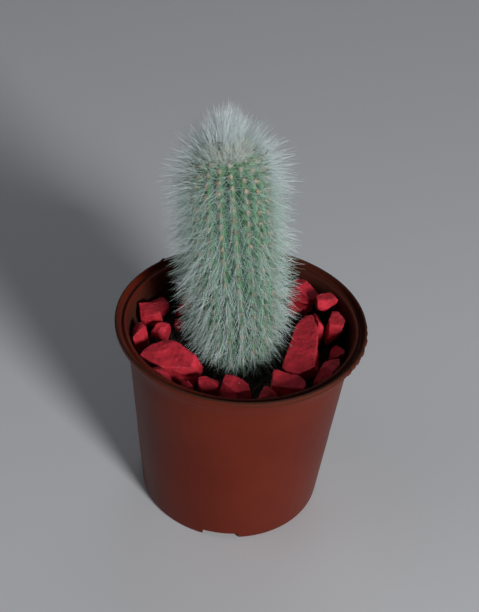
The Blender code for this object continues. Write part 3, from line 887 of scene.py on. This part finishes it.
soil = {
    "level": 45.0,
    "dip": {"depth": 1.2, "reach": 14.0},  # round the stem
    "lumps": ((0.22, 0.0, 0.45), (0.55, 9.0, 0.25)),  # scale, layer and height of each
    "grain": ((0.9, 0.28), (2.1, 0.22)),
    "bottom": 3.7,
    "spinSteps": 300,
    "ringPitch": 0.42,
    "holeRadius": 8.7,
    "holeBottom": 32.6,
    "gap": 0.35,  # to the pot's wall
    "openRadius": 28.0,  # crumbs and fibres lie within this
    "crumbs": 1500,
    "crumbSize": (0.3, 0.95),
    "fibres": 90,
    "fibreLength": (2.0, 6.0),
    "fibreRadius": 0.09,
    "seed": 5,
}


def soilHeight(x, y):
    near = math.exp(-(((x - stem["x"]) ** 2 + (y - stem["y"]) ** 2) / soil["dip"]["reach"] ** 2))
    lumps = sum(high * noise(Vector((x, y, layer)) * scale) for scale, layer, high in soil["lumps"])
    return soil["level"] - soil["dip"]["depth"] * near + lumps


def peatMaterial():
    # Moist peat: nearly black and matt, with brown fibres and crumbs that catch the light
    material, shader = startMaterial("moistPeat", "#1B140F", 0.92, ior=1.45)
    place = addNode(material, "ShaderNodeTexCoord")
    crumb = addNode(
        material, "ShaderNodeTexNoise", {"Scale": patternScale(1.1), "Detail": 6.0, "Roughness": 0.7},
        {"Vector": (place, "Object")}
    )
    stops = [(0.35, "#120D0A"), (0.52, "#241A13"), (0.66, "#46362A"), (0.78, "#6B5745")]
    colour = addNode(material, "ShaderNodeValToRGB", {"stops": stops}, {"Fac": (crumb, "Fac")})
    bump = addNode(
        material, "ShaderNodeBump", {"Strength": 0.8, "Distance": 0.2 * mm}, {"Height": (crumb, "Fac")}
    )
    addLinks(material, shader, {"Base Color": (colour, "Color"), "Normal": (bump, "Normal")})
    return material


def openPlaces(count, draw):
    # random places on the soil, clear of the stem
    places = []
    while len(places) < count:
        radius = soil["openRadius"] * math.sqrt(draw.random())
        angle = draw.uniform(0.0, 2.0 * math.pi)
        x, y = radius * math.cos(angle), radius * math.sin(angle)
        if math.hypot(x - stem["x"], y - stem["y"]) > soil["holeRadius"] + 0.3:
            places.append((x, y))
    return places


def makeCrumbs(material):
    draw = random.Random(soil["seed"])
    shape = bmesh.new()
    bmesh.ops.create_icosphere(shape, subdivisions=1, radius=1.0)
    for vert in shape.verts:
        vert.co *= draw.uniform(0.7, 1.2)
    points, faces = templateOf(shape)
    roots, axes = [], ([], [], [])
    for x, y in openPlaces(soil["crumbs"], draw):
        size = draw.uniform(*soil["crumbSize"]) * draw.uniform(0.5, 1.0)
        roots.append((x, y, soilHeight(x, y) + 0.15 * size))
        turn = draw.uniform(0.0, 6.28)
        pole = Vector((draw.random(), draw.random(), draw.random() + 0.1))
        turned = Matrix.Rotation(turn, 3, pole)
        stretches = (1.0, draw.uniform(0.6, 1.0), draw.uniform(0.45, 0.8))
        for kept, axis, stretch in zip(axes, turned.transposed(), stretches):
            kept.append(axis * size * stretch)
    copies = placedCopies(points, np.array(roots), *[np.array(kept) for kept in axes])
    addPiece("peatCrumbs", joinedMesh("peatCrumbs", [(copies, faces)]), material, sharpAngle=30)


def makeFibres():
    # Dried peat fibre: brown bits of root and moss, matt
    draw = random.Random(soil["seed"] + 1)
    material, shader = startMaterial("driedPeatFibre", "#5A4632", 0.85, ior=1.45)
    place = addNode(material, "ShaderNodeTexCoord")
    tint = addNode(
        material, "ShaderNodeTexNoise", {"Scale": patternScale(4.0)}, {"Vector": (place, "Object")}
    )
    stops = [(0.35, "#3A2A1C"), (0.65, "#7A6348")]
    colour = addNode(material, "ShaderNodeValToRGB", {"stops": stops}, {"Fac": (tint, "Fac")})
    addLinks(material, shader, {"Base Color": (colour, "Color")})
    roots, directions, bends, lengths = [], [], [], []
    for x, y in openPlaces(soil["fibres"], draw):
        angle = draw.uniform(0.0, 2.0 * math.pi)
        length = draw.uniform(*soil["fibreLength"])
        endX, endY = x + length * math.cos(angle), y + length * math.sin(angle)
        nearStem = math.hypot(endX - stem["x"], endY - stem["y"]) < soil["holeRadius"]
        if nearStem or math.hypot(endX, endY) > soil["openRadius"]:
            continue
        start = Vector((x, y, soilHeight(x, y) + 0.12))
        reach = Vector((endX, endY, soilHeight(endX, endY) + 0.12)) - start
        roots.append(start)
        directions.append(reach.normalized())
        bends.append(Vector((draw.gauss(0, 0.12), draw.gauss(0, 0.12), 0.0)))
        lengths.append(length)
    points, faces = bristleTemplate((0.25, 0.5, 0.75))
    roots, directions, bends, lengths = [np.array(part) for part in (roots, directions, bends, lengths)]
    radii = np.full(len(roots), soil["fibreRadius"])
    copies = bristleCopies(points, roots, directions, bends, lengths, radii)
    addPiece("peatFibres", joinedMesh("peatFibres", [(copies, faces)]), material)


def makeSoil():
    edge = wallOuter(soil["level"]) - pot["wall"] - soil["gap"]
    hole = soil["holeRadius"]
    rings = int((edge - hole) / soil["ringPitch"])
    profile = [(0.0, soil["holeBottom"]), (6.4, soil["holeBottom"]), (8.2, soil["level"] - 1.5)]
    profile += [(hole + (edge - hole) * i / rings, soil["level"]) for i in range(rings + 1)]
    profile += [(wallOuter(z) - pot["wall"] - soil["gap"], z) for z in (38.0, 20.0, soil["bottom"] + 2.0)]
    profile += [(21.8, soil["bottom"]), (10.0, soil["bottom"]), (0.0, soil["bottom"])]
    shape = spunShape(profile, soil["spinSteps"])
    for vert in shape.verts:
        radius = math.hypot(vert.co.x, vert.co.y)
        if vert.co.z > soil["holeBottom"] - 0.5 and radius < edge - 0.2:
            share = 1.0 - smoothStep((radius - hole) / 12.0)
            vert.co.x += stem["x"] * share
            vert.co.y += stem["y"] * share
        if vert.co.z > soil["level"] - 0.2:
            grain = sum(high * noise(vert.co * scale) for scale, high in soil["grain"])
            vert.co.z = soilHeight(vert.co.x, vert.co.y) + grain * smoothStep((edge - radius) / 0.8)
    material = peatMaterial()
    addPiece("peatPlug", meshFrom(shape, "peatPlug"), material, ["soil"])
    makeCrumbs(material)
    makeFibres()
    print("soil made")


# Stones: crushed rock dyed crimson, one piece for each solid

stones = {
    "seed": 700,
    "chips": 12,
    "chipDepth": (0.15, 0.75),
    "chipTilt": 0.45,
    "edgeRound": 0.1,
    "voxel": 0.23,
    "rough": ((2.6, 0.18), (1.1, 0.12), (0.5, 0.06)),  # size and depth of each layer of roughness
    "sink": 0.1,
    "wear": 7.0,
    "mostWear": 0.75,
    # the long slab's open crack: places and heights along it, how far back it shows, half width and depth
    "crack": {
        "stone": "stone_01",
        "along": (-16.9, -13.8, -10.0),
        "heights": (49.2, 48.7, 49.0),
        "front": -12.5,
        "half": 0.3,
        "depth": 1.7,
    },
}


def stoneMaterial():
    # Crushed marble dyed crimson: matt, patchy where the dye took unevenly, with pale grains broken bare and
    # painted shade in the small dips of its grain
    material, shader = startMaterial("dyedCrushedStone", "#BD2435", 0.8, ior=1.5)
    place = addNode(material, "ShaderNodeTexCoord")
    patch = addNode(
        material, "ShaderNodeTexNoise", {"Scale": patternScale(3.2), "Detail": 5.0, "Roughness": 0.6},
        {"Vector": (place, "Object")}
    )
    stops = [(0.25, "#8E0F1C"), (0.45, "#BC1A2C"), (0.62, "#D42639"), (0.8, "#E03C4F")]
    dye = addNode(material, "ShaderNodeValToRGB", {"stops": stops}, {"Fac": (patch, "Fac")})
    wear = addNode(material, "ShaderNodeAttribute", {"attribute_name": "wear"})
    worn = addNode(
        material, "ShaderNodeMix", {"data_type": "RGBA", 7: linearColour("#EE6A7A")},
        {0: (wear, "Fac"), 6: (dye, "Color")}
    )
    grain = addNode(
        material, "ShaderNodeTexNoise", {"Scale": patternScale(0.5), "Detail": 3.0, "Roughness": 0.7},
        {"Vector": (place, "Object")}
    )
    specks = addNode(
        material, "ShaderNodeMapRange", {"From Min": 0.66, "From Max": 0.72, "To Max": 0.7},
        {"Value": (grain, "Fac")}
    )
    speckled = addNode(
        material, "ShaderNodeMix", {"data_type": "RGBA", 7: linearColour("#DDA6A6")},
        {0: (specks, "Result"), 6: (worn, 2)}
    )
    # painted shade: darkest red in the dips of the grain's bump
    pitShade = addNode(
        material, "ShaderNodeMapRange", {"From Min": 0.36, "From Max": 0.28, "To Max": 0.55},
        {"Value": (grain, "Fac")}
    )
    colour = addNode(
        material, "ShaderNodeMix", {"data_type": "RGBA", 7: linearColour("#560B14")},
        {0: (pitShade, "Result"), 6: (speckled, 2)}
    )
    bump = addNode(
        material, "ShaderNodeBump", {"Strength": 0.7, "Distance": 0.12 * mm}, {"Height": (grain, "Fac")}
    )
    addLinks(material, shader, {"Base Color": (colour, 2), "Normal": (bump, "Normal")})
    return material


def crackDepth(name, point):
    crack = stones["crack"]
    start, end = crack["along"][0], crack["along"][-1]
    if name != crack["stone"] or point.y > crack["front"] or not start < point.x < end:
        return 0.0
    away = point.z - float(np.interp(point.x, crack["along"], crack["heights"])) + 0.15 * noise(point * 1.3)
    closing = smoothStep((point.x - start) / 1.0) * smoothStep((end - point.x) / 1.0)
    return crack["depth"] * closing * math.exp(-(away / crack["half"]) ** 2)


def shapeStone(name, number):
    draw = random.Random(stones["seed"] + number)
    shape = bmesh.new()
    shape.from_mesh(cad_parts[name].data)
    bmesh.ops.scale(shape, vec=(1 / mm, 1 / mm, 1 / mm), verts=shape.verts)
    bmesh.ops.remove_doubles(shape, verts=shape.verts, dist=0.01)
    bmesh.ops.dissolve_limit(shape, angle_limit=math.radians(2.0), verts=shape.verts, edges=shape.edges)
    centre = sum((vert.co for vert in shape.verts), Vector()) / len(shape.verts)
    for _ in range(stones["chips"]):
        corner = draw.choice(list(shape.verts)).co.copy()
        away = (corner - centre).normalized()
        tilt = Vector([draw.gauss(0.0, stones["chipTilt"]) for _ in range(3)])
        normal = (away + tilt).normalized()
        furthest = max(vert.co.dot(normal) for vert in shape.verts)
        cut = normal * (furthest - draw.uniform(*stones["chipDepth"]))
        everything = shape.verts[:] + shape.edges[:] + shape.faces[:]
        made = bmesh.ops.bisect_plane(
            shape, geom=everything, dist=0.01, plane_co=cut, plane_no=normal, clear_outer=True
        )
        rim = [item for item in made["geom_cut"] if isinstance(item, bmesh.types.BMEdge)]
        if len(rim) > 2:
            bmesh.ops.edgeloop_fill(shape, edges=rim)
    bmesh.ops.bevel(
        shape, geom=shape.edges[:], offset=stones["edgeRound"], affect="EDGES", segments=2, profile=0.5,
        material=-1, clamp_overlap=True
    )
    even = {"mode": "VOXEL", "voxel_size": stones["voxel"] * mm}
    mesh = withModifier(meshFrom(shape, name), "REMESH", even)
    shape = bmesh.new()
    shape.from_mesh(mesh)
    bmesh.ops.scale(shape, vec=(1 / mm, 1 / mm, 1 / mm), verts=shape.verts)
    bmesh.ops.smooth_vert(
        shape, verts=shape.verts, factor=0.2, use_axis_x=True, use_axis_y=True, use_axis_z=True
    )
    shape.normal_update()
    offset = Vector((number * 7.3, number * 3.1, 0.0))
    moves, wear = [], []
    for vert in shape.verts:
        depth = -stones["sink"]
        for size, amount in stones["rough"]:
            depth += amount * noise((vert.co + offset) / size)
        moves.append(vert.normal * (depth - crackDepth(name, vert.co)))
        around = sum((edge.other_vert(vert).co for edge in vert.link_edges), Vector()) / len(vert.link_edges)
        sharpness = (vert.co - around).dot(vert.normal) * stones["wear"] - 0.1
        wear.append(min(max(sharpness, 0.0), stones["mostWear"]))
    for vert, move in zip(shape.verts, moves):
        vert.co += move
    mesh = meshFrom(shape, name)
    pointAttribute(mesh, "wear", wear)
    return mesh


def makeStones():
    material = stoneMaterial()
    names = sorted(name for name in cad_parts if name.startswith("stone_"))
    faces = 0
    for number, name in enumerate(names):
        mesh = shapeStone(name, number)
        addPiece("crushed_" + name, mesh, material, [name])
        faces += len(mesh.polygons)
    print("stones made,", len(names), "with", faces, "faces")


# Room: plain pale floor, soft light mostly from the right, camera at the photograph's angle

room = {
    "floorRadius": 3.0,
    "floorColour": "#DEDDDC",
    "skyColour": "#C9D2DC",
    "skyStrength": 0.09,
    "focal": 70.588,
    "cameraPlace": (0.0, -0.242924, 0.247483),
    "cameraRight": (0.996904, 0.049895, 0.060773),
    "cameraUp": (-0.078593, 0.608034, 0.790011),
    "cameraBack": (0.002465, -0.792342, 0.610073),
    # name, place, aim, size in metres, watts and colour
    "lamps": (
        ("windowLight", (0.50, -0.74, 0.38), (0.0, 0.0, 0.05), 0.24, 8.2, "#F8FBFF"),
        ("backFill", (0.15, 0.80, 0.60), (0.0, 0.0, 0.05), 0.6, 0.7, "#F0F5FF"),
        ("leftFill", (-0.70, -0.10, 0.50), (0.0, 0.0, 0.05), 0.6, 0.5, "#F0F5FF"),
    ),
}


def makeFloor():
    # Matt floor paint: even and flat, with hardly any shine
    shape = bmesh.new()
    bmesh.ops.create_circle(shape, cap_ends=True, segments=64, radius=room["floorRadius"] / mm)
    floor = addObject("paleFloor", meshFrom(shape, "paleFloor"))
    material, shader = startMaterial("mattFloorPaint", room["floorColour"], 0.8)
    floor.data.materials.append(material)


def makeLamps():
    for name, place, aim, size, power, colour in room["lamps"]:
        data = bpy.data.lights.new(name, "AREA")
        data.shape = "DISK"
        data.size = size
        data.energy = power
        data.color = linearColour(colour)[:3]
        lamp = addObject(name, data)
        lamp.location = place
        lamp.rotation_euler = (Vector(aim) - Vector(place)).to_track_quat("-Z", "Y").to_euler()
    world = bpy.data.worlds.new("softSky")
    world.use_nodes = True
    background = world.node_tree.nodes["Background"]
    background.inputs["Color"].default_value = linearColour(room["skyColour"])
    background.inputs["Strength"].default_value = room["skyStrength"]
    bpy.context.scene.world = world


def makeCamera():
    data = bpy.data.cameras.new("photoCamera")
    data.lens = room["focal"]
    data.sensor_width = 36.0
    data.clip_start = 0.01
    camera = addObject("photoCamera", data)
    turned = Matrix((room["cameraRight"], room["cameraUp"], room["cameraBack"])).transposed().to_4x4()
    camera.matrix_world = Matrix.Translation(room["cameraPlace"]) @ turned
    bpy.context.scene.camera = camera
    bpy.context.scene.view_settings.view_transform = "Standard"


makePot()
makeSoil()
makeStones()
makeStem()
areoles = areoleList()
makeAreoles(areoles)
makeBristles(areoles)
makeCrownWool()
makeLitter()
makeFloor()
makeLamps()
makeCamera()

print("all made")
